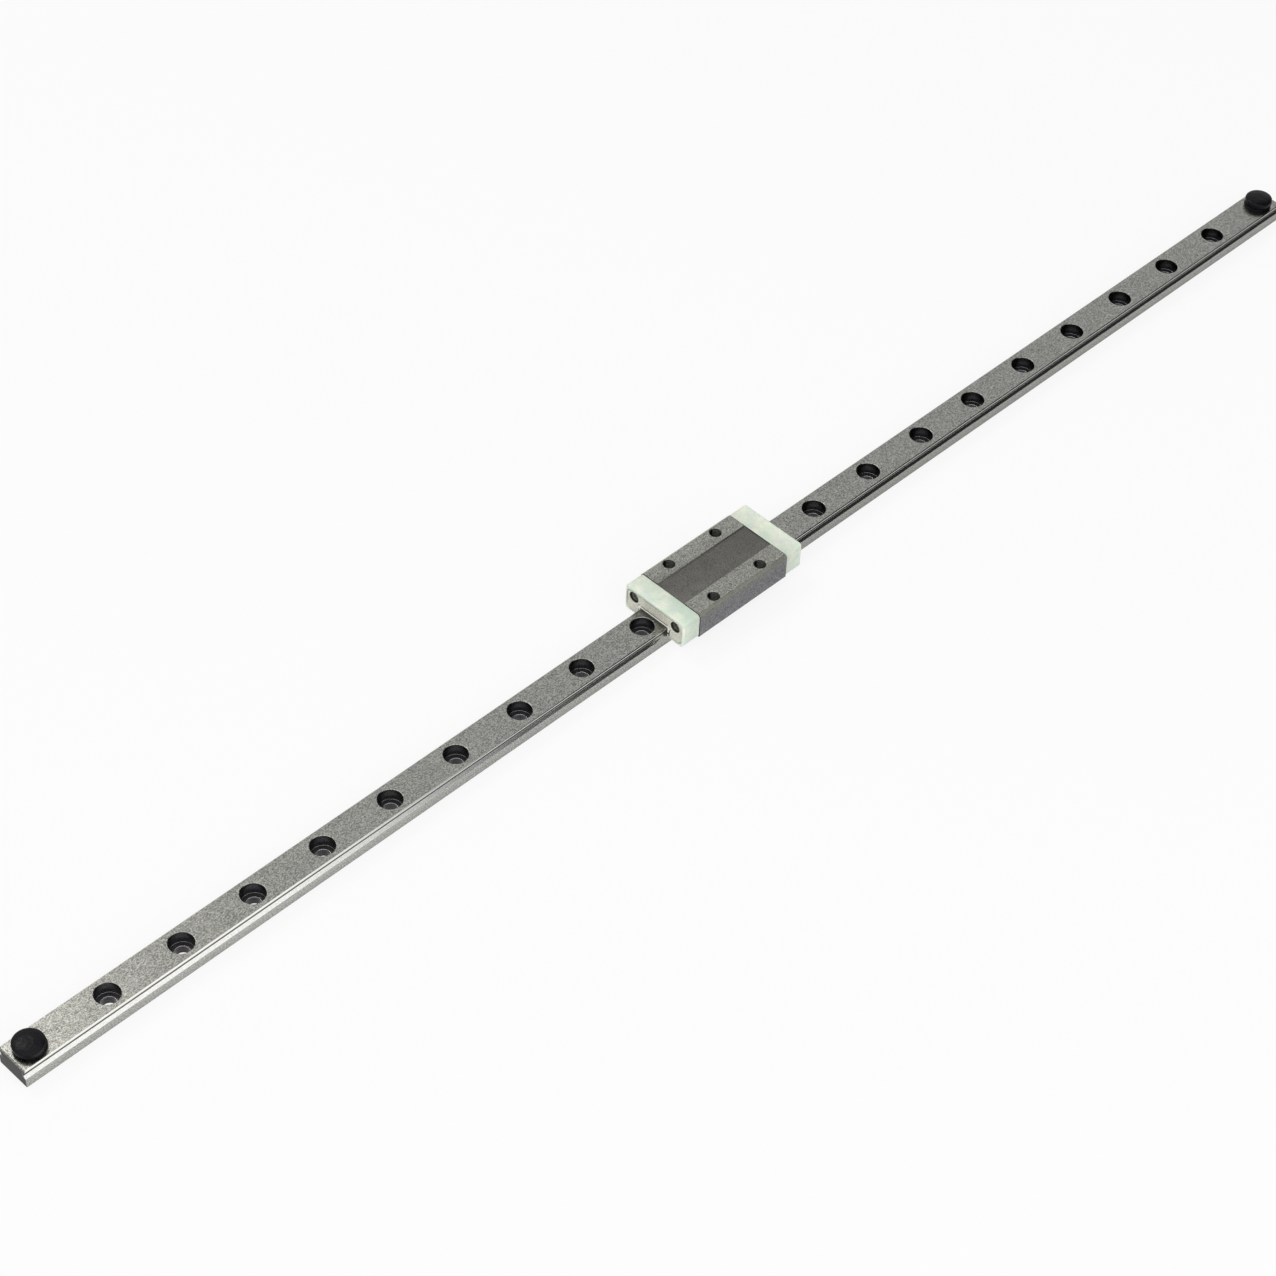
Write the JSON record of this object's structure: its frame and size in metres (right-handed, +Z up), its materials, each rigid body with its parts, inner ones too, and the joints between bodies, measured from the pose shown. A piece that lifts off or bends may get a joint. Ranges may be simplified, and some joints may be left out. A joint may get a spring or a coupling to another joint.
{
  "type": "miniature linear guide",
  "caption": "Miniature profile rail with side raceways, counterbored holes and end stop plugs, carrying a long recirculating-ball carriage with end caps that slides along it.",
  "frame": {"origin": "middle of the rail's underside, halfway along and across it", "axes": "+X along the rail towards the end that is farther from the carriage at rest, +Y across it, +Z up out of the rail's top"},
  "size_m": [0.4304, 0.02, 0.01],
  "materials": {
    "rail_steel": "ground",
    "block_steel": "ground top, dull sides",
    "ball_steel": "polished",
    "cap_plastic": "moulded satin",
    "seal_rubber": "matt",
    "plate_steel": "satin",
    "screw_steel": "blackened",
    "plug_rubber": "slightly glossy"
  },
  "bodies": {
    "rail": {"rail": "rail_steel", "stop_plug_near": "plug_rubber", "stop_plug_far": "plug_rubber"},
    "carriage": {"carriage_block": "block_steel", "balls_left": "ball_steel", "balls_right": "ball_steel", "end_cap_near": "cap_plastic", "end_cap_far": "cap_plastic", "end_seal_near": "seal_rubber", "end_seal_far": "seal_rubber", "end_plate_near": "plate_steel", "end_plate_far": "plate_steel", "cap_screw_near_left": "screw_steel", "cap_screw_near_right": "screw_steel", "cap_screw_far_left": "screw_steel", "cap_screw_far_right": "screw_steel"}
  },
  "joints": [
    {"name": "carriage_slide", "type": "slide", "parent": "rail", "child": "carriage", "axis": [1, 0, 0], "range_m": [-0.18, 0.191]}
  ]
}
